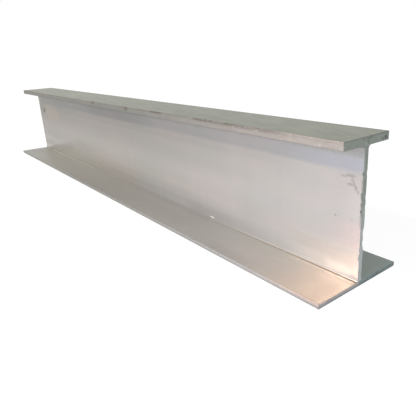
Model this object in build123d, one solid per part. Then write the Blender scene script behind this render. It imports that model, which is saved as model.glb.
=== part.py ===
from build123d import *
import os

# Aluminium I-beam stock: one extruded length with unequal flanges, sawn square at both ends.
# It lies along X on its wide, thin flange, with its web in the XZ plane. The origin is at
# the middle of its length and width, on the level that it rests on.

# Driving dimensions, in millimetres
beam_length = 950.0
beam_height = 150.0
web_thickness = 5.6

# Top flange: narrow and thick
top_flange_width = 67.5
top_flange_thickness = 8.5
top_root_radius = 3.0
top_arris_radius = 1.0

# Bottom flange: wide and thin
bottom_flange_width = 123.0
bottom_flange_thickness = 5.0
bottom_root_radius = 1.5
bottom_arris_radius = 0.8


def right_half_corners():
    """Return each rounded corner on the +Y side as (across, up, radius), from the bottom up."""
    web_face = web_thickness / 2
    bottom_edge = bottom_flange_width / 2
    top_edge = top_flange_width / 2
    top_underside = beam_height - top_flange_thickness
    return [
        (bottom_edge, 0, bottom_arris_radius),
        (bottom_edge, bottom_flange_thickness, bottom_arris_radius),
        (web_face, bottom_flange_thickness, bottom_root_radius),
        (web_face, top_underside, top_root_radius),
        (top_edge, top_underside, top_arris_radius),
        (top_edge, beam_height, top_arris_radius),
    ]


def i_section(end_plane):
    """Draw the whole section on the plane of one sawn end, even about the web."""
    right_half = right_half_corners()
    left_half = [(-across, up, radius) for across, up, radius in reversed(right_half)]
    corners = [(across, up) for across, up, _ in right_half + left_half]
    radii = [radius for _, _, radius in right_half + left_half]
    with BuildSketch(end_plane) as section:
        with BuildLine():
            FilletPolyline(*corners, radius=radii, close=True)
        make_face()
    return section.sketch


def i_beam():
    """Extrude the section from one sawn end to the other, with the middle of the beam over the origin."""
    far_end = Plane.YZ.offset(-beam_length / 2)
    return extrude(i_section(far_end), amount=beam_length)


os.makedirs("parts", exist_ok=True)
solid = i_beam()
solid.label = "i_beam"
export_step(solid, "parts/i_beam.step")
print(f"i_beam: volume {solid.volume:.0f} mm3, box {solid.bounding_box().size}")
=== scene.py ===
import logging
import math
from collections.abc import Callable, Iterable
from dataclasses import dataclass
from enum import Enum

import bpy
from mathutils import Matrix, Vector


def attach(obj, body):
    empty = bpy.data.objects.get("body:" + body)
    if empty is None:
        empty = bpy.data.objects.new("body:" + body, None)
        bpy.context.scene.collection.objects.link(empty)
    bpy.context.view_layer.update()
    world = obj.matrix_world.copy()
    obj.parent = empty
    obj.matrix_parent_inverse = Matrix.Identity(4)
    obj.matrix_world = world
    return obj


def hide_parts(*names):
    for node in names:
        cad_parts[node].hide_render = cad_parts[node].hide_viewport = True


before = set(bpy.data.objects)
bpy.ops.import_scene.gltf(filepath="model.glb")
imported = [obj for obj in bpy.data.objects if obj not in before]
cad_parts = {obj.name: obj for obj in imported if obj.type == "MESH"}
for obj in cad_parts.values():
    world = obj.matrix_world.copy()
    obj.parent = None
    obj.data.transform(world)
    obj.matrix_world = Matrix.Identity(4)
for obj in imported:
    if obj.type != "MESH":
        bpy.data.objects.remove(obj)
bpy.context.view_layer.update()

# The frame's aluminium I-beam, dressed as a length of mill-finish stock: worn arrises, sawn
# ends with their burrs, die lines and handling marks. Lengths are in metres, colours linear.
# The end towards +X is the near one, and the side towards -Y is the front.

BEAM_NODE = "i_beam"
MM = 0.001
NEAR_NOTHING = 0.01 * MM
WELD_DISTANCE = 1e-6
WHITE = (1.0, 1.0, 1.0)
SHINE_TINT = (0.8, 0.8, 0.8)

# The Mix node's colour sockets, which share their names with its other ones
MIX_FIRST, MIX_SECOND, MIX_RESULT = 6, 7, 2
SMOOTH_STEP = {"interpolation_type": "SMOOTHSTEP"}

# How far a mark's outline wanders, and where it fades, both in squared reaches
MARK_WANDER = 1.6
MARK_FADE = (0.3, 1.3)

Colour = tuple[float, float, float]

log = logging.getLogger("i_beam")


class Side(Enum):
    """A side of the web, or an end of the beam, as the sign of its axis."""

    FRONT = -1
    BACK = 1


class Pick(Enum):
    """What a selection is made of, by its place in the mesh select mode."""

    CORNERS = 0
    EDGES = 1
    FACES = 2


class Finish(Enum):
    """The beam's finishes, by the number of the material slot that holds each."""

    MILL = 0
    FLANGE_EDGE = 1
    SAWN = 2


@dataclass(frozen=True)
class Section:
    """The extruded section's sizes, as the CAD node has them."""

    length: float
    height: float
    web: float
    top_width: float
    top_thickness: float
    top_root: float
    top_arris: float
    bottom_width: float
    bottom_thickness: float
    bottom_root: float
    bottom_arris: float

    @classmethod
    def measured(cls, node: bpy.types.Object) -> "Section":
        """Read the section off the corners of the beam's CAD node.

        Args:
            node: the CAD node, lying along X with its underside at height 0.

        Returns:
            The section, with its flanges, web and radii.
        """
        length = 2 * max(v.co.x for v in node.data.vertices)
        outline = [(abs(v.co.y), v.co.z) for v in node.data.vertices]
        height = max(z for _, z in outline)
        web_face = min(y for y, _ in outline)
        web_levels = [z for y, z in outline if y < web_face + NEAR_NOTHING]
        lower = [(y, z) for y, z in outline if z < height / 2]
        upper = [(y, z) for y, z in outline if z > height / 2]
        bottom_tip, top_tip = max(lower)[0], max(upper)[0]
        bottom_levels = [z for y, z in lower if y > bottom_tip - NEAR_NOTHING]
        top_levels = [z for y, z in upper if y > top_tip - NEAR_NOTHING]
        bottom_arris, top_arris = min(bottom_levels), height - max(top_levels)
        bottom_thickness = max(bottom_levels) + bottom_arris
        top_thickness = height - min(top_levels) + top_arris
        return cls(
            length=length,
            height=height,
            web=2 * web_face,
            top_width=2 * top_tip,
            top_thickness=top_thickness,
            top_root=height - top_thickness - max(web_levels),
            top_arris=top_arris,
            bottom_width=2 * bottom_tip,
            bottom_thickness=bottom_thickness,
            bottom_root=min(web_levels) - bottom_thickness,
            bottom_arris=bottom_arris,
        )

    @property
    def near_end(self) -> float:
        """Return where along X the near end is."""
        return self.length / 2

    @property
    def underside(self) -> float:
        """Return the height of the top flange's underside."""
        return self.height - self.top_thickness

    def half_width(self, level: float) -> float:
        """Return how far from the web's middle the flange nearest to a height reaches."""
        return (self.bottom_width if level < self.height / 2 else self.top_width) / 2

    def bottom_rim(self, z: "Value") -> "Value":
        """Return 1 at the bottom flange's upper arris, and 0 a little below it."""
        return z.rise(self.bottom_thickness - 1.4 * MM, self.bottom_thickness - 0.5 * MM)

    def upper_part(self, z: "Value") -> "Value":
        """Return 1 at the top flange and 0 at the bottom one."""
        return z.rise(0.4 * self.height, 0.6 * self.height)


class Value:
    """A number in a node tree: arithmetic on it adds Math nodes."""

    def __init__(self, graph: "Graph", socket: bpy.types.NodeSocket) -> None:
        """Wrap an output socket of a graph."""
        self.graph = graph
        self.socket = socket

    def maths(self, operation: str, first: "Number", second: "Number" = 0.0) -> "Value":
        """Add a Math node and return its result.

        Args:
            operation: the node's operation.
            first: its first number.
            second: its second number, where the operation has one.

        Returns:
            The result.
        """
        node = self.graph.add("ShaderNodeMath", {"operation": operation}, {0: first, 1: second})
        return Value(self.graph, node.outputs[0])

    def __add__(self, other: "Number") -> "Value":
        """Return self + other."""
        return self.maths("ADD", self, other)

    __radd__ = __add__

    def __sub__(self, other: "Number") -> "Value":
        """Return self - other."""
        return self.maths("SUBTRACT", self, other)

    def __rsub__(self, other: "Number") -> "Value":
        """Return other - self."""
        return self.maths("SUBTRACT", other, self)

    def __mul__(self, other: "Number") -> "Value":
        """Return self * other."""
        return self.maths("MULTIPLY", self, other)

    __rmul__ = __mul__

    def __truediv__(self, other: "Number") -> "Value":
        """Return self / other."""
        return self.maths("DIVIDE", self, other)

    def __pow__(self, other: "Number") -> "Value":
        """Return self ** other."""
        return self.maths("POWER", self, other)

    def __abs__(self) -> "Value":
        """Return self without its sign."""
        return self.maths("ABSOLUTE", self)

    def higher(self, other: "Number") -> "Value":
        """Return the higher of self and other."""
        return self.maths("MAXIMUM", self, other)

    def swing(self, width: float) -> "Value":
        """Return a noise as a change about 0, some width from its least to its most."""
        return (self - 0.5) * width

    def rise(self, start: float, end: float) -> "Value":
        """Return a smooth step from 0, where self is start or less, to 1 at end or more."""
        sockets = {"Value": self, "From Min": start, "From Max": end}
        return Value(self.graph, self.graph.add("ShaderNodeMapRange", SMOOTH_STEP, sockets).outputs[0])

    def fall(self, start: float, end: float) -> "Value":
        """Return a smooth step from 1, where self is start or less, to 0 at end or more."""
        return 1.0 - self.rise(start, end)

    def between(self, start: float, end: float, soft: float) -> "Value":
        """Return 1 between start and end, falling to 0 outside over a soft stretch."""
        return self.rise(start - soft, start) * self.fall(end, end + soft)


Number = Value | float


@dataclass(frozen=True)
class Grain:
    """A noise's pattern: cells to the metre along X, Y and Z, finer layers, and its own shift."""

    cells: tuple[float, float, float]
    detail: float = 2.0
    shift: float = 0.0


# What breaks up the outlines of marks, on every finish
RAGGED = Grain((420.0, 420.0, 420.0), shift=31.0)


class Graph:
    """A node tree, with the few ways in which this script adds to it."""

    def __init__(self, tree: bpy.types.NodeTree) -> None:
        """Take over a tree and empty it."""
        tree.nodes.clear()
        self.tree = tree

    def add(self, kind: str, settings: dict | None = None, sockets: dict | None = None) -> bpy.types.Node:
        """Add a node, set it up, and give its sockets their values or links.

        Args:
            kind: the node's type.
            settings: its properties, set first.
            sockets: its inputs by name or number, each a Value, an output socket or a plain value.

        Returns:
            The node.
        """
        node = self.tree.nodes.new(kind)
        for name, setting in (settings or {}).items():
            setattr(node, name, setting)
        for key, given in (sockets or {}).items():
            given = given.socket if isinstance(given, Value) else given
            if isinstance(given, bpy.types.NodeSocket):
                self.tree.links.new(given, node.inputs[key])
            elif isinstance(given, tuple) and node.inputs[key].type == "RGBA":
                node.inputs[key].default_value = (*given, 1.0)
            else:
                node.inputs[key].default_value = given
        return node

    def place(self) -> bpy.types.NodeSocket:
        """Return the place on the piece, in Object coordinates."""
        return self.add("ShaderNodeTexCoord").outputs["Object"]

    def axes(self) -> list[Value]:
        """Return the place's X, Y and Z."""
        return [Value(self, out) for out in self.add("ShaderNodeSeparateXYZ", {}, {0: self.place()}).outputs]

    def noise(self, grain: Grain) -> Value:
        """Return noise on the piece.

        Args:
            grain: the noise's pattern.

        Returns:
            The noise, spread about a half.
        """
        sockets = {"Vector": self.place(), "Scale": grain.cells, "Location": (grain.shift,) * 3}
        moved = self.add("ShaderNodeMapping", {}, sockets).outputs[0]
        return self.noise_at(moved, grain.detail)

    def noise_at(self, place: bpy.types.NodeSocket, detail: float) -> Value:
        """Return noise of one cell to the unit at a place, with some finer layers."""
        sockets = {"Vector": place, "Scale": 1.0, "Detail": detail}
        return Value(self, self.add("ShaderNodeTexNoise", {}, sockets).outputs[0])

    def blend(self, share: Number, first: object, second: object) -> bpy.types.NodeSocket:
        """Return the colour a share of the way from the first colour to the second."""
        sockets = {0: share, MIX_FIRST: first, MIX_SECOND: second}
        return self.add("ShaderNodeMix", {"data_type": "RGBA"}, sockets).outputs[MIX_RESULT]

    def shaded(self, colour: object, level: Value) -> bpy.types.NodeSocket:
        """Return the colour made lighter or darker by a level."""
        sockets = {0: colour, "Scale": level}
        return self.add("ShaderNodeVectorMath", {"operation": "SCALE"}, sockets).outputs[0]

    def relief(self, height: Value, depth: float) -> bpy.types.NodeSocket:
        """Return the normal of a surface whose height goes over a depth in metres."""
        return self.add("ShaderNodeBump", {}, {"Height": height, "Distance": depth}).outputs[0]

    def seen(self) -> Value:
        """Tell the rays that see a surface from those that only light it.

        Returns:
            1 for camera, glossy and transmission rays, and 0 for all others.
        """
        rays = self.add("ShaderNodeLightPath").outputs
        kinds = [Value(self, rays[f"Is {kind} Ray"]) for kind in ("Camera", "Glossy", "Transmission")]
        return kinds[0].higher(kinds[1]).higher(kinds[2])


@dataclass(frozen=True)
class Mark:
    """A small mark: its place along and across a face, its reach each way, and its weight."""

    along: float
    across: float
    reach_along: float
    reach_across: float
    weight: float

    def mask(self, along: Value, across: Value, ragged: Value) -> Value:
        """Return the mark's weight at each place.

        Args:
            along: how far along the face the place is.
            across: how far across the face it is.
            ragged: a noise that breaks up the mark's outline.

        Returns:
            The weight inside the mark and 0 outside.
        """
        lengthwise = (along - self.along) / self.reach_along
        crosswise = (across - self.across) / self.reach_across
        distance = lengthwise * lengthwise + crosswise * crosswise + ragged.swing(MARK_WANDER)
        return distance.fall(*MARK_FADE) * self.weight


def marked(marks: Iterable[Mark], along: Value, across: Value, ragged: Value) -> Value:
    """Lay some marks over each other.

    Args:
        marks: the marks.
        along: how far along the face each place is.
        across: how far across the face it is.
        ragged: a noise that breaks up the marks' outlines.

    Returns:
        The weight of the heaviest mark at each place.
    """
    masks = [mark.mask(along, across, ragged) for mark in marks]
    heaviest = masks[0]
    for mask in masks[1:]:
        heaviest = heaviest.higher(mask)
    return heaviest


@dataclass(frozen=True)
class Dash:
    """A stretch of rough arris, from start to end in metres from the near end."""

    start: float
    end: float
    weight: float


@dataclass(frozen=True)
class MillFinish:
    """The extruded faces: mill aluminium, handling marks, a weathered top painted darker, painted shade
    behind and painted light and shade in front.
    """

    section: Section
    web_tones: tuple[Colour, Colour] = ((0.389, 0.376, 0.367), (0.362, 0.364, 0.352))
    flange_tones: tuple[Colour, Colour] = ((0.441, 0.440, 0.438), (0.422, 0.434, 0.418))
    # The top is partly weathered and partly painted in shade: its tones are darker than the web's
    top_tones: tuple[Colour, Colour] = ((0.198, 0.225, 0.176), (0.252, 0.264, 0.220))
    # Painted shade: the bottom flange behind the web, darker and greener where the key light does not reach
    back_flange_shade_colour: Colour = (0.275, 0.318, 0.290)
    back_web_colour: Colour = (0.355, 0.372, 0.355)
    # Painted warm glow of the key light's reflection on the bottom flange near the near end
    painted_near_glow_colour: Colour = (0.47, 0.370, 0.305)
    # Painted warm light on the web near the near end
    painted_warm_light_colour: Colour = (0.455, 0.392, 0.375)
    shade_colour: Colour = (0.400, 0.415, 0.455)
    far_colour: Colour = (0.452, 0.46, 0.437)
    # Painted cool tint of the shade at the web's foot
    foot_shade_colour: Colour = (0.360, 0.372, 0.379)
    fleck_colour: Colour = (0.85, 0.85, 0.83)
    dark_colour: Colour = (0.10, 0.085, 0.07)
    stain_colour: Colour = (0.37, 0.33, 0.24)
    root_colour: Colour = (0.20, 0.13, 0.08)
    metallic: float = 0.5
    roughness: float = 0.25
    shine: float = 0.3
    tooth_depth: float = 0.03 * MM
    clouds: Grain = Grain((7.0, 20.0, 20.0), 3.0, 11.0)
    die_lines: Grain = Grain((2.0, 420.0, 420.0), 4.0)
    tooth: Grain = Grain((700.0, 700.0, 700.0), 3.0, 5.0)
    specks: Grain = Grain((210.0, 210.0, 210.0), 1.0, 23.0)
    mottle: Grain = Grain((45.0, 90.0, 90.0), 4.0, 47.0)
    bands: Grain = Grain((2.5, 95.0, 95.0), 2.0, 3.0)
    streaks: Grain = Grain((85.0, 4.0, 4.0), 2.0, 17.0)
    dirt_gaps: Grain = Grain((60.0, 60.0, 60.0), 2.0, 37.0)

    web_soil: tuple[Mark, ...] = (
        Mark(0.918, 0.1006, 0.012, 0.0062, 1.0),
        Mark(0.0298, 0.0682, 0.0018, 0.0013, 0.65),
        Mark(0.0372, 0.0677, 0.0024, 0.0008, 0.34),
        Mark(0.0239, 0.0713, 0.0016, 0.0008, 0.34),
        Mark(0.0213, 0.0674, 0.0012, 0.0008, 0.30),
        Mark(0.0104, 0.0679, 0.0018, 0.0010, 0.42),
        Mark(0.0092, 0.0584, 0.0014, 0.0009, 0.34),
        Mark(0.0210, 0.1101, 0.0050, 0.0014, 0.38),
        Mark(0.0150, 0.1118, 0.0038, 0.0019, 0.46),
        Mark(0.0105, 0.1116, 0.0027, 0.0017, 0.40),
        Mark(0.0117, 0.1082, 0.0020, 0.0034, 0.38),
        Mark(0.0142, 0.1030, 0.0034, 0.0018, 0.44),
        Mark(0.0102, 0.1039, 0.0022, 0.0025, 0.40),
        Mark(0.0074, 0.1004, 0.0019, 0.0030, 0.46),
        Mark(0.0050, 0.0970, 0.0016, 0.0027, 0.38),
    )
    top_soil: tuple[Mark, ...] = (
        Mark(0.028, -0.007, 0.0035, 0.0018, 0.42),
        Mark(0.034, -0.018, 0.0030, 0.0016, 0.38),
    )
    fleck: Mark = Mark(0.2385, 0.0077, 0.0055, 0.0010, 0.9)
    stain: Mark = Mark(0.866, 0.1005, 0.060, 0.026, 0.30)

    def material(self) -> bpy.types.Material:
        """Mix the finish.

        Returns:
            The finish as a material.
        """
        s = self.section
        material, graph = new_material("mill_finish")
        x, y, z = graph.axes()
        from_near = s.near_end - x
        clouds = graph.noise(self.clouds)
        lines = graph.noise(self.die_lines)
        tooth = graph.noise(self.tooth)
        ragged = graph.noise(RAGGED)

        on_web = y.between(-s.web / 2 - 0.3 * MM, 0.0, 0.1 * MM)
        on_top = z.rise(s.height - 0.8 * MM, s.height - 0.4 * MM)
        specks = graph.noise(self.specks).rise(0.74, 0.80) * 0.12
        darkening = marked(self.web_soil, from_near, z, ragged) * on_web
        darkening = darkening.higher(marked(self.top_soil, from_near, y, ragged) * on_top)
        darkening = darkening.higher(self.sawn_rim(from_near, z, ragged) * on_web)
        darkening = darkening.higher(y.rise(s.top_width / 2 - 5.0 * MM, s.top_width / 2 - 3.0 * MM) * on_top * 0.36)

        colour = self.toned(graph, from_near, y, z, on_top, clouds)
        colour = graph.shaded(colour, self.level(graph, from_near, z, lines, tooth))
        # Painted light and shade: the web's glow, falloff and flange shadow, and the bottom flange front's
        # light and shade
        colour = graph.shaded(colour, self.painted_web_light(from_near, z) * self.painted_flange_light(from_near, y, z))
        colour = graph.blend(self.stain.mask(from_near, z, clouds) * on_web, colour, self.stain_colour)
        colour = graph.blend(self.root_dirt(graph, from_near, y, z), colour, self.root_colour)
        fleck = self.fleck.mask(from_near, z, ragged) * y.fall(0.0, MM)
        colour = graph.blend(fleck, colour, self.fleck_colour)
        colour = graph.blend(darkening.higher(specks), colour, self.dark_colour)

        dull = (self.on_flange(z) * 0.22 + self.on_root(z) * 0.3) * from_near.rise(0.06, 0.20)
        rough = self.roughness + dull + on_top * 0.12 + clouds.swing(0.12)
        metal = self.metallic - on_top * 0.15 - darkening * 0.4
        height = tooth * 0.3 - darkening * 0.8
        finish_material(graph, colour, metal, rough, graph.relief(height, self.tooth_depth), self.shine)
        return material

    def toned(
        self, graph: Graph, from_near: Value, y: Value, z: Value, on_top: Value, clouds: Value
    ) -> bpy.types.NodeSocket:
        """Return the colour by the face a place is on, with painted warm light near the near end and painted
        shade on top, under the top flange, at the web's foot and behind.

        Args:
            graph: the material's graph.
            from_near: the distance from the near end.
            y: the place across the beam.
            z: its height.
            on_top: 1 on the top face.
            clouds: a noise that goes between the two tones of each face.

        Returns:
            The colour.
        """
        s = self.section
        cloudy = clouds.rise(0.38, 0.66)
        mottled = graph.noise(self.mottle).rise(0.35, 0.65)
        on_flange = z.fall(s.bottom_thickness, s.bottom_thickness + s.bottom_root)
        flange = graph.blend(cloudy, *self.flange_tones)
        # Painted warm glow on the bottom flange near the near end
        painted_near_glow = from_near.fall(0.0, 0.10) * 0.55 + from_near.fall(0.05, 0.20) * 0.25
        flange = graph.blend(painted_near_glow, flange, self.painted_near_glow_colour)
        shaded = z.between(s.underside - 24.0 * MM, s.underside - 14.0 * MM, 4.0 * MM)
        web = graph.blend(cloudy, *self.web_tones)
        web = graph.blend(shaded * from_near.fall(0.02, 0.13) * 0.6, web, self.shade_colour)
        # Painted warm light on the web near the near end
        painted_warm_light = from_near.fall(0.0, 0.05) * z.between(0.046, 0.058, 0.014) * 0.8
        web = graph.blend(painted_warm_light, web, self.painted_warm_light_colour)
        # Painted cool tint of the shade at the web's foot, which the web's painted light level darkens
        foot = from_near.between(0.10, 0.44, 0.05) * z.fall(0.022, 0.042) * 0.7
        web = graph.blend(foot, web, self.foot_shade_colour)
        colour = graph.blend(on_flange, web, flange)
        far_corner = from_near.rise(0.45, 0.80) * z.fall(0.010, 0.045) * 0.8
        colour = graph.blend(far_corner, colour, self.far_colour)
        # The top face: weathered tones, painted darker as shade
        colour = graph.blend(on_top, colour, graph.blend(mottled, *self.top_tones))
        # Painted shade on the bottom flange behind the web
        behind = graph.blend(on_flange, self.back_web_colour, self.back_flange_shade_colour)
        return graph.blend(y.rise(0.0, MM) * (1.0 - on_top), colour, behind)

    def level(self, graph: Graph, from_near: Value, z: Value, lines: Value, tooth: Value) -> Value:
        """Return how light the metal is against its own colour.

        Args:
            graph: the material's graph.
            from_near: the distance from the near end.
            z: the height.
            lines: the die lines' noise.
            tooth: the fine grain's noise.

        Returns:
            The level, about 1.
        """
        bands = graph.noise(self.bands)
        streaks = graph.noise(self.streaks)
        level = 1.0 + lines.swing(0.04) + bands.swing(0.06)
        level = level + streaks.swing(0.07) + tooth.swing(0.10)
        root_shade = 0.44 + from_near.rise(0.12, 0.32) * 0.26 + from_near.rise(0.55, 0.75) * 0.11
        return level * (1.0 - self.on_root(z) * root_shade)

    def painted_web_light(self, from_near: Value, z: Value) -> Value:
        """Return the painted light and shade on the web, as a level against its own colour, by distance and
        height.

        Args:
            from_near: the distance from the near end.
            z: the height.

        Returns:
            The level, and 1 off the web.
        """
        s = self.section
        on_web = z.between(s.bottom_thickness + s.bottom_root, s.underside, MM)
        # All painted light and shade: the top flange's shadow, falloff towards the far end, the key's glow
        # near the near end and shade at the foot
        under_top = z.rise(s.underside - 14.0 * MM, s.underside - 6.0 * MM)
        under_top = under_top * (0.15 - from_near.between(0.032, 0.052, 0.012) * 0.07)
        above = z.rise(0.060, 0.110) * 0.06
        far_high = from_near.rise(0.0, 0.60) * z.rise(0.052, 0.098) * z.fall(0.112, 0.118) * 0.15
        far_low = from_near.rise(0.60, 0.90) * z.rise(0.028, 0.050) * 0.09
        far_band = z.rise(0.112, 0.118) * from_near.between(0.50, 0.58, 0.16) * 0.15
        far_end = from_near.rise(0.84, 0.90) * z.between(0.018, 0.026, 0.005) * 0.18
        shade_edge = z.between(0.108, 0.112, 0.006) * from_near.rise(0.06, 0.14) * 0.06
        low_near = z.between(0.024, 0.032, 0.006) * from_near.fall(0.06, 0.13) * 0.08
        foot = z.fall(0.010, 0.030) * from_near.between(0.11, 0.27, 0.05) * 0.12
        dimmer = under_top + above + far_high + far_low + far_band + far_end + shade_edge + low_near + foot
        middle = z.between(0.025, 0.036, 0.009) * from_near.between(0.22, 0.72, 0.08) * 0.10
        glow = z.rise(0.0052, 0.0062) * z.fall(0.015, 0.019)
        glow = glow * from_near.between(0.014, 0.034, 0.012) * 0.17
        near_foot = z.between(0.0064, 0.0082, 0.0008) * from_near.fall(0.05, 0.12) * 0.22
        near_face = z.between(0.050, 0.095, 0.010) * from_near.fall(0.006, 0.022) * 0.06
        return 1.0 + (middle + glow + near_foot + near_face - dimmer) * on_web

    def painted_flange_light(self, from_near: Value, y: Value, z: Value) -> Value:
        """Return the painted light and shade on the bottom flange's front, as a level against its own
        colour.

        Args:
            from_near: the distance from the near end.
            y: the place across the beam.
            z: the height.

        Returns:
            The level, and 1 off the front.
        """
        # Painted light and shade: falloff along the beam, shade by the root and at the near rim, lighter and
        # darker stretches
        by_root = y.rise(-0.016, -0.006)
        by_edge = y.fall(-0.054, -0.044)
        along = 1.0 - from_near.rise(0.07, 0.27) * 0.185 + from_near.rise(0.50, 0.70) * 0.055
        at_end = from_near.fall(0.004, 0.032) * (0.16 + by_root * 0.14)
        at_root = from_near.fall(0.03, 0.07) * by_root * 0.19
        far_root = from_near.rise(0.20, 0.26) * by_root * 0.09
        far_end = from_near.rise(0.82, 0.92) * (1.0 - by_edge) * 0.10
        middle = from_near.rise(0.16, 0.24) * y.fall(-0.044, -0.024) * 0.055
        lighter = from_near.between(0.25, 0.38, 0.06) * 0.07
        darker = from_near.between(0.125, 0.16, 0.04) * 0.06 + from_near.rise(0.74, 0.84) * 0.06
        front = (lighter - darker) * by_edge
        at_rim = from_near.fall(0.8 * MM, 3.0 * MM) * 0.25
        level = along * (1.0 + middle + front - at_end - at_rim - at_root - far_root - far_end)
        return 1.0 + (level - 1.0) * self.on_flange(z) * y.fall(-MM, 0.0)

    def on_flange(self, z: Value) -> Value:
        """Return 1 on the bottom flange."""
        top = self.section.bottom_thickness
        return z.fall(top + 0.1 * MM, top + 0.25 * MM)

    def on_root(self, z: Value) -> Value:
        """Return 1 on the lower root fillets."""
        top = self.section.bottom_thickness
        return z.between(top + 0.25 * MM, top + 0.8 * self.section.bottom_root, 0.15 * MM)

    def root_dirt(self, graph: Graph, from_near: Value, y: Value, z: Value) -> Value:
        """Lay a thin line of dirt along the front lower root.

        Args:
            graph: the material's graph.
            from_near: the distance from the near end.
            y: the place across the beam.
            z: the height.

        Returns:
            The dirt's weight.
        """
        s = self.section
        web_face = -s.web / 2
        broken = graph.noise(self.dirt_gaps).rise(0.3, 0.5)
        line = abs(z - s.bottom_thickness).fall(0.2 * MM, 0.6 * MM)
        line = line * y.between(web_face - 2.4 * MM, web_face - 1.1 * MM, 0.3 * MM)
        return line * from_near.fall(0.10, 0.30) * broken * 0.7

    def sawn_rim(self, from_near: Value, z: Value, ragged: Value) -> Value:
        """Return the weight of the dark burr along the web's near edge."""
        rim = (from_near + ragged.swing(1.6 * MM)).fall(1.0 * MM, 2.4 * MM)
        return rim * z.between(0.068, 0.108, 8.0 * MM) * 0.5


@dataclass(frozen=True)
class EdgeFinish:
    """The flanges' narrow edges: scuffed and speckled, with rough stretches of arris, a painted highlight
    near the near end and painted shade along the lower arris.
    """

    section: Section
    top_tones: tuple[Colour, Colour] = ((0.258, 0.242, 0.224), (0.195, 0.203, 0.194))
    bottom_tones: tuple[Colour, Colour] = ((0.283, 0.288, 0.290), (0.236, 0.250, 0.242))
    near_colour: Colour = (0.275, 0.262, 0.253)
    # Painted warm highlight on the bottom flange's upper arris near the near end
    rim_highlight_colour: Colour = (0.42, 0.34, 0.29)
    worn_colour: Colour = (0.40, 0.39, 0.37)
    # The dark colour of pits, burrs and spots, and of the painted shade along the lower arris
    dark_colour: Colour = (0.11, 0.105, 0.09)
    metallic: float = 0.35
    roughness: float = 0.48
    shine: float = 0.3
    tooth_depth: float = 0.10 * MM
    lines: Grain = Grain((14.0, 500.0, 500.0), 3.0, 2.0)
    clouds: Grain = Grain((30.0, 60.0, 60.0), 3.0, 7.0)
    speckle: Grain = Grain((420.0, 420.0, 420.0), 3.0, 13.0)
    scuffs: Grain = Grain((260.0, 330.0, 330.0), 2.0, 19.0)
    pits: Grain = Grain((330.0, 330.0, 330.0), 2.0, 41.0)
    burr_grain: Grain = Grain((160.0, 300.0, 300.0), 2.0, 43.0)
    rough_arris: tuple[Dash, ...] = (
        Dash(0.298, 0.328, 0.90),
        Dash(0.196, 0.219, 0.95),
        Dash(0.185, 0.190, 0.80),
        Dash(0.147, 0.162, 0.95),
        Dash(0.139, 0.143, 0.60),
        Dash(0.128, 0.132, 0.60),
        Dash(0.105, 0.109, 0.40),
        Dash(0.087, 0.091, 0.35),
        Dash(0.524, 0.532, 0.75),
        Dash(0.400, 0.414, 0.45),
    )
    spots: tuple[Mark, ...] = (
        Mark(0.403, 0.1480, 0.0065, 0.0046, 0.85),
        Mark(0.528, 0.1484, 0.0070, 0.0040, 0.70),
    )

    def material(self) -> bpy.types.Material:
        """Mix the finish.

        Returns:
            The finish as a material.
        """
        s = self.section
        material, graph = new_material("flange_edges")
        x, y, z = graph.axes()
        from_near = s.near_end - x
        lines = graph.noise(self.lines)
        clouds = graph.noise(self.clouds)
        speckle = graph.noise(self.speckle)
        bright = graph.noise(self.scuffs).rise(0.60, 0.70)
        dark = graph.noise(self.pits).rise(0.63, 0.72)

        on_top_flange = s.upper_part(z)
        top_colour = graph.blend(from_near.rise(0.03, 0.42), *self.top_tones)
        bottom_colour = graph.blend(from_near.rise(0.05, 0.50), *self.bottom_tones)
        bottom_colour = graph.blend(from_near.fall(0.02, 0.13), bottom_colour, self.near_colour)
        # Painted warm highlight on the bottom flange's upper arris near the near end
        rim = s.bottom_rim(z) * from_near.fall(0.03, 0.08) * 0.8
        bottom_colour = graph.blend(rim, bottom_colour, self.rim_highlight_colour)
        colour = graph.blend(on_top_flange, bottom_colour, top_colour)
        level = 1.0 + lines.swing(0.2) + clouds.swing(0.3) + speckle.swing(0.3)
        colour = graph.shaded(colour, level - self.upper_edge(from_near, z))
        colour = graph.blend(bright * 0.45, colour, self.worn_colour)
        # Painted shade on the bottom flange edge's lower, downward-facing arris
        lower_arris_shade = z.fall(0.6 * MM, 2.8 * MM) * (0.35 + from_near.fall(0.16, 0.24) * 0.35)
        back_edge = y.rise(0.0, MM) * z.rise(s.height - 1.2 * MM, s.height - 0.6 * MM) * 0.45
        darkening = (dark * 0.20).higher(self.burr(graph, from_near, z)).higher(lower_arris_shade).higher(back_edge)
        darkening = darkening.higher(marked(self.spots, from_near, z, speckle) * y.fall(-MM, 0.0))
        colour = graph.blend(darkening, colour, self.dark_colour)
        rough = self.roughness + speckle.swing(0.25) + darkening * 0.25
        height = speckle * 0.5 + lines * 0.3 + bright * 0.2 - darkening * 0.5
        metal = self.metallic - darkening * 0.3
        finish_material(graph, colour, metal, rough, graph.relief(height, self.tooth_depth), self.shine)
        return material

    def upper_edge(self, from_near: Value, z: Value) -> Value:
        """Darken the top flange's edge towards its upper arris.

        Args:
            from_near: the distance from the near end.
            z: the height.

        Returns:
            How much darker the edge is.
        """
        s = self.section
        whole = from_near.fall(0.08, 0.16) * s.upper_part(z) * 0.05
        weight = from_near.between(0.10, 0.19, 0.05) * 0.20 + from_near.fall(0.30, 0.45) * 0.12
        return whole + z.rise(s.height - 5.0 * MM, s.height - 1.3 * MM) * weight

    def burr(self, graph: Graph, from_near: Value, z: Value) -> Value:
        """Roughen stretches of the top flange's upper arris.

        Args:
            graph: the material's graph.
            from_near: the distance from the near end.
            z: the height.

        Returns:
            The weight of the rough stretches.
        """
        s = self.section
        ragged = graph.noise(self.burr_grain)
        burr = ragged.rise(0.45, 0.62) * from_near.rise(0.10, 0.20) * 0.35
        for dash in self.rough_arris:
            stretch = from_near.between(dash.start, dash.end, 2.0 * MM)
            burr = burr.higher(stretch * dash.weight * ragged.rise(0.22, 0.45))
        return burr * z.between(s.height - 1.9 * MM, s.height, 0.6 * MM)


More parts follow.
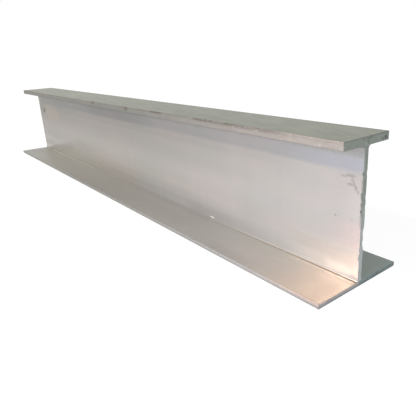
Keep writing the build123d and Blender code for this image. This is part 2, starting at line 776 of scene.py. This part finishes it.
@dataclass(frozen=True)
class SawnFinish:
    """The sawn ends: dull grey, darkened partly by painted shade, with the blade's arcs across them and
    painted shade and highlights at their rims.
    """

    section: Section
    # Dark grey-green: partly an oxidised cut, partly painted shade on the unlit ends
    colour: Colour = (0.242, 0.276, 0.245)
    low_colour: Colour = (0.410, 0.445, 0.440)
    # Front tone lit, back tone painted shade behind the web
    flange_tones: tuple[Colour, Colour] = ((0.350, 0.345, 0.350), (0.215, 0.280, 0.280))
    # Painted warm highlight on the front upper rim of the bottom flange's end
    rim_highlight_colour: Colour = (0.55, 0.46, 0.42)
    bright_colour: Colour = (0.45, 0.47, 0.46)
    # The dark colour of pits, grit and dots, and of the painted shade along the rims
    dark_colour: Colour = (0.09, 0.10, 0.095)
    metallic: float = 0.5
    roughness: float = 0.5
    shine: float = 0.5
    tooth_depth: float = 0.2 * MM
    speckle: Grain = Grain((450.0, 450.0, 450.0), 3.0, 3.0)
    scuffs: Grain = Grain((300.0, 300.0, 300.0), 2.0, 9.0)
    pits: Grain = Grain((180.0, 180.0, 180.0), 3.0, 15.0)
    grit: Grain = Grain((380.0, 380.0, 380.0), 2.0, 51.0)
    blade_centre: tuple[float, float] = (-0.08, 0.30)
    arcs_in_metre: float = 620.0
    arc_detail: float = 3.0
    low_web: tuple[float, float] = (0.054, 0.090)
    dots: tuple[Mark, ...] = (
        Mark(0.0288, 0.1450, 0.0024, 0.0020, 1.0),
        Mark(0.0250, 0.1446, 0.0013, 0.0010, 0.6),
    )

    def material(self) -> bpy.types.Material:
        """Mix the finish.

        Returns:
            The finish as a material.
        """
        s = self.section
        material, graph = new_material("sawn_ends")
        _, y, z = graph.axes()
        across, up = y - self.blade_centre[0], z - self.blade_centre[1]
        radius = (across * across + up * up) ** 0.5
        ring = graph.add("ShaderNodeCombineXYZ", {}, {0: radius * self.arcs_in_metre}).outputs[0]
        arcs = graph.noise_at(ring, self.arc_detail)
        speckle = graph.noise(self.speckle)
        bright = graph.noise(self.scuffs).rise(0.58, 0.70)
        dark = graph.noise(self.pits).rise(0.56, 0.70)
        dots = marked(self.dots, y, z, graph.noise(RAGGED))
        grit = graph.noise(self.grit).rise(0.48, 0.56)
        grit = grit * z.fall(2.0 * MM, 5.0 * MM) * y.rise(0.0, 8.0 * MM) * 0.8

        colour = graph.blend(z.fall(*self.low_web), self.colour, self.low_colour)
        # The bottom flange's end, in painted shade behind the web
        flange = graph.blend(y.rise(-4.0 * MM, 4.0 * MM), *self.flange_tones)
        # Painted warm highlight on the front upper rim of the bottom flange's end
        rim = s.bottom_rim(z) * y.fall(-8.0 * MM, 0.0)
        flange = graph.blend(rim * 0.7, flange, self.rim_highlight_colour)
        colour = graph.blend(z.fall(s.bottom_thickness, s.bottom_thickness + MM), colour, flange)
        colour = graph.shaded(colour, 1.0 + arcs.swing(0.5) + speckle.swing(0.5))
        colour = graph.blend(bright * 0.35, colour, self.bright_colour)
        # Pits, dots and grit, and the painted shade along the rims
        darkening = (dark * 0.55).higher(dots).higher(grit).higher(self.outline(y, z))
        colour = graph.blend(darkening, colour, self.dark_colour)
        rough = self.roughness + arcs.swing(0.2)
        height = arcs * 0.7 + speckle * 0.3 - darkening * 0.3
        normal = graph.relief(height, self.tooth_depth)
        finish_material(graph, colour, self.metallic, rough, normal, self.shine)
        return material

    def outline(self, y: Value, z: Value) -> Value:
        """Paint shade along the ends' upper and lower rims and the top flange's back corner.

        Args:
            y: the place across the beam.
            z: the height.

        Returns:
            The dirt's weight.
        """
        s = self.section
        upper = z.rise(s.height - 1.8 * MM, s.height - 0.6 * MM) * (0.35 + y.rise(0.015, 0.025) * 0.2)
        on_top_flange = s.upper_part(z)
        back = y.rise(s.top_width / 2 - 2.2 * MM, s.top_width / 2 - 0.8 * MM) * on_top_flange * 0.5
        return upper.higher(back).higher(z.fall(0.5 * MM, 2.4 * MM) * 0.55)


def new_material(name: str) -> tuple[bpy.types.Material, Graph]:
    """Start a material.

    Args:
        name: the material's name.

    Returns:
        The material, and the graph of its emptied tree.
    """
    material = bpy.data.materials.new(name)
    material.use_nodes = True
    return material, Graph(material.node_tree)


def finish_material(
    graph: Graph, colour: object, metallic: Number, roughness: Number, normal: object, shine: float
) -> None:
    """Close a metal's graph with its shader and output.

    Args:
        graph: the material's graph.
        colour: the base colour.
        metallic: how much of the surface is bare metal.
        roughness: its roughness.
        normal: its normal.
        shine: how strongly the part that isn't bare metal reflects.
    """
    sockets = {"Base Color": colour, "Metallic": metallic, "Roughness": roughness, "Normal": normal}
    sockets |= {"Specular IOR Level": shine, "Specular Tint": SHINE_TINT}
    shader = graph.add("ShaderNodeBsdfPrincipled", {}, sockets)
    graph.add("ShaderNodeOutputMaterial", {}, {"Surface": shader.outputs[0]})


class Bench:
    """One mesh on the bench, shaped by operators in edit mode."""

    def __init__(self, name: str, low: Vector, high: Vector) -> None:
        """Start from a block.

        Args:
            name: the piece's name.
            low: the block's lowest corner.
            high: the block's highest corner.
        """
        bpy.ops.object.select_all(action="DESELECT")
        bpy.ops.mesh.primitive_cube_add(size=1.0, location=(low + high) / 2, scale=high - low)
        self.piece = bpy.context.active_object
        self.piece.name = self.piece.data.name = name
        bpy.ops.object.transform_apply(location=True, rotation=True, scale=True)
        bpy.ops.object.mode_set(mode="EDIT")

    @property
    def mesh(self) -> bpy.types.Mesh:
        """Return the piece's mesh."""
        return self.piece.data

    def pick(self, kind: Pick, wanted: Callable[[object], bool]) -> None:
        """Select the corners, edges or faces that are wanted, and nothing else.

        Args:
            kind: what is selected.
            wanted: the test that each passes; an edge is given as its two end points.
        """
        bpy.ops.mesh.select_all(action="DESELECT")
        bpy.ops.object.mode_set(mode="OBJECT")
        bpy.context.tool_settings.mesh_select_mode = [kind.value == n for n in range(3)]
        items = (self.mesh.vertices, self.mesh.edges, self.mesh.polygons)[kind.value]
        for item in items:
            given = item
            if kind is Pick.EDGES:
                given = [self.mesh.vertices[n].co for n in item.vertices]
            item.select = wanted(given)
        bpy.ops.object.mode_set(mode="EDIT")

    def cut(self, place: Vector, normal: Vector) -> None:
        """Cut the whole mesh into smaller faces along a plane."""
        bpy.ops.mesh.select_all(action="SELECT")
        bpy.ops.mesh.bisect(plane_co=place, plane_no=normal, threshold=WELD_DISTANCE)

    def round_over(self, across: float, up: float, radius: float, steps: int) -> None:
        """Round the lengthwise edges at a distance from the web's middle and a height.

        Args:
            across: the distance.
            up: the height.
            radius: the rounding's radius.
            steps: how many faces it has.
        """

        def there(ends: list[Vector]) -> bool:
            """Return whether both ends of an edge are where the rounding goes."""
            return all(abs(abs(p.y) - across) < NEAR_NOTHING and abs(p.z - up) < NEAR_NOTHING for p in ends)

        self.pick(Pick.EDGES, there)
        bpy.ops.mesh.bevel(
            offset=radius, segments=steps, affect="EDGES", clamp_overlap=False, loop_slide=False
        )

    def nick(self, places: Iterable[Vector], push: Vector, reach: float) -> None:
        """Push the corners nearest to some places, and what is round them, out of line.

        Args:
            places: where the nicks are.
            push: how far, and which way, each is pushed.
            reach: how far round it the mesh follows.
        """
        corners = self.mesh.vertices
        bpy.ops.object.mode_set(mode="OBJECT")
        chosen = {min(corners, key=lambda v: (v.co - place).length_squared).index for place in places}
        bpy.ops.object.mode_set(mode="EDIT")
        self.pick(Pick.CORNERS, lambda v: v.index in chosen)
        bpy.ops.transform.translate(
            value=push,
            use_proportional_edit=True,
            proportional_edit_falloff="SMOOTH",
            proportional_size=reach,
        )

    def close(self) -> bpy.types.Object:
        """Leave edit mode and return the piece."""
        bpy.ops.object.mode_set(mode="OBJECT")
        return self.piece


@dataclass(frozen=True)
class RimDamage:
    """Nicks of one kind in the web's near rim: their side, heights, push and reach."""

    side: Side
    heights: tuple[float, ...]
    push: tuple[float, float, float]
    reach: float


@dataclass
class Beam:
    """The I-beam: one extruded length with worn arrises and sawn ends."""

    section: Section
    root_steps: int = 6
    arris_steps: int = 3
    strips: tuple[int, int] = (22, 22)
    web_courses: int = 40
    inner_cut_shares: tuple[float, ...] = (0.15, 0.3, 0.4)
    outer_cut_shares: tuple[float, ...] = (0.7, 0.85)
    edge_margins: tuple[float, ...] = (5.0 * MM, 2.0 * MM)
    facing: float = 0.7
    wear: float = 0.25 * MM
    wear_grain: float = 4.0 * MM
    wear_layers: int = 2
    rim_depth: float = 0.5 * MM
    rim_wear_share: float = 0.5
    smooth_angle: float = math.radians(35)
    rim_damage: tuple[RimDamage, ...] = (
        RimDamage(Side.FRONT, (0.115, 0.097, 0.091, 0.086, 0.080), (-1.9 * MM, 0.2 * MM, 0.0), 3.5 * MM),
        RimDamage(Side.FRONT, (0.075, 0.040, 0.034, 0.029), (-1.1 * MM, 0.0, 0.0), 3.5 * MM),
        RimDamage(Side.BACK, (0.056, 0.046), (-0.5 * MM, -1.1 * MM, 0.0), 7.0 * MM),
        RimDamage(Side.BACK, (0.117, 0.091, 0.081), (-0.2 * MM, -0.4 * MM, 0.0), 3.0 * MM),
    )
    arris_nicks: tuple[float, ...] = (0.528, 0.409, 0.205, 0.154)
    nick_push: tuple[float, float, float] = (0.0, 0.5 * MM, -0.5 * MM)
    nick_reach: float = 5.0 * MM

    def build(self) -> bpy.types.Object:
        """Model the beam.

        Returns:
            The finished piece, riding on its body and standing for its CAD node.
        """
        bench = self.block_out()
        self.round_corners(bench)
        self.divide(bench)
        self.damage(bench)
        piece = bench.close()
        self.assign_finishes(piece)
        self.wear_down(piece)
        self.smooth(piece)
        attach(piece, "root")
        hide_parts(BEAM_NODE)
        log.info("%s: %d faces", piece.name, len(piece.data.polygons))
        return piece

    def block_out(self) -> Bench:
        """Start from the web and push the two flanges out of it.

        Returns:
            The bench, with the square-cornered beam on it.
        """
        s = self.section
        low = Vector((-s.near_end, -s.web / 2, 0.0))
        bench = Bench("i_beam_stock", low, Vector((s.near_end, s.web / 2, s.height)))
        for level in (s.bottom_thickness, s.underside):
            bench.cut(Vector((0, 0, level)), Vector((0, 0, 1)))
        flanges = (
            (0.0, s.bottom_thickness, s.bottom_width),
            (s.underside, s.height, s.top_width),
        )
        for foot, crest, width in flanges:
            bench.pick(Pick.FACES, lambda f: abs(f.normal.y) > self.facing and foot < f.center.z < crest)
            overhang = (width - s.web) / 2
            bpy.ops.mesh.extrude_region_shrink_fatten(TRANSFORM_OT_shrink_fatten={"value": overhang})
        return bench

    def round_corners(self, bench: Bench) -> None:
        """Round the roots and the arrises.

        Args:
            bench: the bench that the beam is on.
        """
        s = self.section
        for level in (0.0, s.bottom_thickness):
            bench.round_over(s.bottom_width / 2, level, s.bottom_arris, self.arris_steps)
        for level in (s.underside, s.height):
            bench.round_over(s.top_width / 2, level, s.top_arris, self.arris_steps)
        bench.round_over(s.web / 2, s.bottom_thickness, s.bottom_root, self.arris_steps)
        bench.round_over(s.web / 2, s.underside, s.top_root, self.root_steps)

    def divide(self, bench: Bench) -> None:
        """Cut the section's faces, then the length, into small faces that can take wear.

        Args:
            bench: the bench that the beam is on.
        """
        s = self.section
        low, high = s.bottom_thickness + s.bottom_root, s.underside - s.top_root
        heights = [low + (high - low) * n / self.web_courses for n in range(1, self.web_courses)]
        for level in (*heights, s.bottom_thickness / 2, s.height - s.top_thickness / 2):
            bench.cut(Vector((0, 0, level)), Vector((0, 0, 1)))
        bottom, top = s.bottom_width / 2, s.top_width / 2
        distances = [share * bottom for share in self.inner_cut_shares]
        distances += [top - margin for margin in self.edge_margins]
        distances += [share * bottom for share in self.outer_cut_shares]
        distances += [bottom - margin for margin in self.edge_margins]
        for distance in distances:
            for side in Side:
                bench.cut(Vector((0, side.value * distance, 0)), Vector((0, 1, 0)))
        for cuts in self.strips:
            bench.pick(Pick.EDGES, lambda ends: abs(ends[0].x - ends[1].x) > MM)
            bpy.ops.mesh.subdivide(number_cuts=cuts - 1)

    def damage(self, bench: Bench) -> None:
        """Nick the web's near rim and the front upper arris, where they are seen to be damaged.

        Args:
            bench: the bench that the beam is on.
        """
        s = self.section
        for rim in self.rim_damage:
            places = [Vector((s.near_end, rim.side.value * s.web / 2, level)) for level in rim.heights]
            bench.nick(places, Vector(rim.push), rim.reach)
        front = Side.FRONT.value * s.top_width / 2
        places = [Vector((s.near_end - from_near, front, s.height)) for from_near in self.arris_nicks]
        bench.nick(places, Vector(self.nick_push), self.nick_reach)

    def assign_finishes(self, piece: bpy.types.Object) -> None:
        """Give the piece its materials, each face by its place and normal.

        Args:
            piece: the beam's piece.
        """
        s = self.section
        for finish in (MillFinish(s), EdgeFinish(s), SawnFinish(s)):
            piece.data.materials.append(finish.material())
        for face in piece.data.polygons:
            rim = s.half_width(face.center.z) - s.top_arris
            if abs(face.normal.x) > self.facing:
                face.material_index = Finish.SAWN.value
            elif abs(face.center.y) > rim:
                face.material_index = Finish.FLANGE_EDGE.value

    def wear_down(self, piece: bpy.types.Object) -> None:
        """Wear the arrises and the sawn rims inwards with a fine noise.

        Args:
            piece: the beam's piece.
        """
        s = self.section
        worn = piece.vertex_groups.new(name="worn")
        for corner in piece.data.vertices:
            place = corner.co
            at_rim = abs(place.x) > s.near_end - self.rim_depth
            at_arris = abs(place.y) > s.half_width(place.z) - s.top_arris
            if at_rim or at_arris:
                worn.add([corner.index], self.rim_wear_share if at_rim else 1.0, "REPLACE")
        grain = bpy.data.textures.new("arris_grain", "CLOUDS")
        grain.noise_scale = self.wear_grain
        grain.noise_depth = self.wear_layers
        wear = piece.modifiers.new("wear", "DISPLACE")
        wear.texture = grain
        wear.texture_coords = "LOCAL"
        wear.vertex_group = worn.name
        wear.mid_level = 1.0
        wear.strength = self.wear
        bpy.ops.object.modifier_apply(modifier=wear.name)

    def smooth(self, piece: bpy.types.Object) -> None:
        """Shade the piece smooth, with its flat faces kept flat.

        Args:
            piece: the beam's piece.
        """
        bpy.ops.object.shade_smooth_by_angle(angle=self.smooth_angle)
        flat = piece.modifiers.new("flat_faces", "WEIGHTED_NORMAL")
        flat.keep_sharp = True
        bpy.ops.object.modifier_apply(modifier=flat.name)


@dataclass(frozen=True)
class Sun:
    """A distant lamp: the way towards it, its colour and level, and how wide it looks."""

    name: str
    toward: tuple[float, float, float]
    colour: Colour
    level: float
    spread: float

    def hang(self) -> None:
        """Add the lamp; at level 1, white that faces it renders as white."""
        bpy.ops.object.light_add(type="SUN", location=(0, 0, 2))
        lamp = bpy.context.active_object
        lamp.name = self.name
        lamp.rotation_euler = Vector(self.toward).to_track_quat("Z", "Y").to_euler()
        lamp.data.energy = self.level * math.pi
        lamp.data.color = self.colour
        lamp.data.angle = math.radians(self.spread)


@dataclass(frozen=True)
class Panel:
    """A square soft box: its place, what it is aimed at, its side, colour and power in watts."""

    name: str
    place: tuple[float, float, float]
    aim: tuple[float, float, float]
    side: float
    colour: Colour
    power: float

    def hang(self) -> None:
        """Add the lamp."""
        bpy.ops.object.light_add(type="AREA", location=self.place)
        lamp = bpy.context.active_object
        lamp.name = self.name
        away = Vector(self.place) - Vector(self.aim)
        lamp.rotation_euler = away.to_track_quat("Z", "Y").to_euler()
        lamp.data.size = self.side
        lamp.data.energy = self.power
        lamp.data.color = self.colour
        lamp.visible_camera = False


@dataclass(frozen=True)
class Studio:
    """A plain white studio: floor, sky and soft lamps."""

    floor_size: float = 60.0
    floor_gap: float = 0.2 * MM
    floor_colour: Colour = (0.78, 0.78, 0.78)
    shadow_share: float = 0.10
    floor_glow: float = 0.96
    sky: Colour = (0.11, 0.14, 0.145)
    key: Sun = Sun("key", (-0.59, -1.00, 0.86), (1.0, 0.87, 0.74), 1.08, 6.0)
    soft_box: Panel = Panel("soft_box", (0.60, -0.45, 0.12), (0.47, 0.0, 0.05), 0.3, (0.93, 0.89, 1.0), 3.2)

    def build(self) -> None:
        """Lay the floor, paint the sky and hang the lamps."""
        self.lay_floor()
        self.paint_sky()
        for lamp in (self.key, self.soft_box):
            lamp.hang()
            log.info("lamp %s", lamp.name)

    def lay_floor(self) -> None:
        """Add the floor: pale to light, and white where it is seen, apart from its shadows."""
        bpy.ops.mesh.primitive_plane_add(size=self.floor_size, location=(0, 0, -self.floor_gap))
        floor = bpy.context.active_object
        floor.name = "studio_floor"
        material, graph = new_material("studio_floor")
        plain = graph.add("ShaderNodeBsdfDiffuse", {}, {"Color": self.floor_colour})
        shadowed = graph.add("ShaderNodeBsdfDiffuse", {}, {"Color": (self.shadow_share,) * 3})
        glow = graph.add("ShaderNodeEmission", {}, {"Color": WHITE, "Strength": self.floor_glow})
        white = graph.add("ShaderNodeAddShader", {}, {0: shadowed.outputs[0], 1: glow.outputs[0]})
        sockets = {0: graph.seen(), 1: plain.outputs[0], 2: white.outputs[0]}
        surface = graph.add("ShaderNodeMixShader", {}, sockets)
        graph.add("ShaderNodeOutputMaterial", {}, {"Surface": surface.outputs[0]})
        floor.data.materials.append(material)

    def paint_sky(self) -> None:
        """Make the sky a soft light that is seen as plain white."""
        world = bpy.data.worlds.new("studio_sky")
        world.use_nodes = True
        bpy.context.scene.world = world
        graph = Graph(world.node_tree)
        light = graph.add("ShaderNodeBackground", {}, {"Color": self.sky})
        white = graph.add("ShaderNodeBackground", {}, {"Color": WHITE})
        sockets = {0: graph.seen(), 1: light.outputs[0], 2: white.outputs[0]}
        surface = graph.add("ShaderNodeMixShader", {}, sockets)
        graph.add("ShaderNodeOutputWorld", {}, {"Surface": surface.outputs[0]})


@dataclass(frozen=True)
class PhotoCamera:
    """The photograph's camera; pixels are those of its square frame."""

    place: tuple[float, float, float] = (0.6984, -0.3327, 0.2300)
    azimuth: float = math.radians(51.61)
    elevation: float = math.radians(19.02)
    roll: float = math.radians(-2.63)
    focal_pixels: float = 439.9
    centre_pixels: tuple[float, float] = (231.7, 197.7)
    frame_pixels: float = 416.0
    sensor: float = 36.0

    def build(self) -> None:
        """Add the camera and make it the scene's own."""
        data = bpy.data.cameras.new("photo_camera")
        data.sensor_width = self.sensor
        data.lens = self.sensor * self.focal_pixels / self.frame_pixels
        data.shift_x = 0.5 - self.centre_pixels[0] / self.frame_pixels
        data.shift_y = self.centre_pixels[1] / self.frame_pixels - 0.5
        data.clip_start = MM
        camera = bpy.data.objects.new("photo_camera", data)
        camera.matrix_world = Matrix.Translation(self.place) @ self.turn().to_4x4()
        bpy.context.scene.collection.objects.link(camera)
        bpy.context.scene.camera = camera

    def turn(self) -> Matrix:
        """Turn the camera by its azimuth, elevation and roll.

        Returns:
            The camera's rotation.
        """
        level = math.cos(self.elevation)
        sideways, forwards = -math.sin(self.azimuth) * level, math.cos(self.azimuth) * level
        ahead = Vector((sideways, forwards, -math.sin(self.elevation)))
        right = ahead.cross(Vector((0, 0, 1))).normalized()
        up = right.cross(ahead)
        rolled_right = right * math.cos(self.roll) + up * math.sin(self.roll)
        rolled_up = up * math.cos(self.roll) - right * math.sin(self.roll)
        return Matrix((rolled_right, rolled_up, -ahead)).transposed()


def main() -> None:
    """Build the beam, the studio and the camera."""
    logging.basicConfig(level=logging.INFO, format="%(name)s: %(message)s")
    bpy.context.scene.view_settings.view_transform = "Standard"
    Beam(Section.measured(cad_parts[BEAM_NODE])).build()
    Studio().build()
    PhotoCamera().build()


if __name__ == "__main__":
    main()
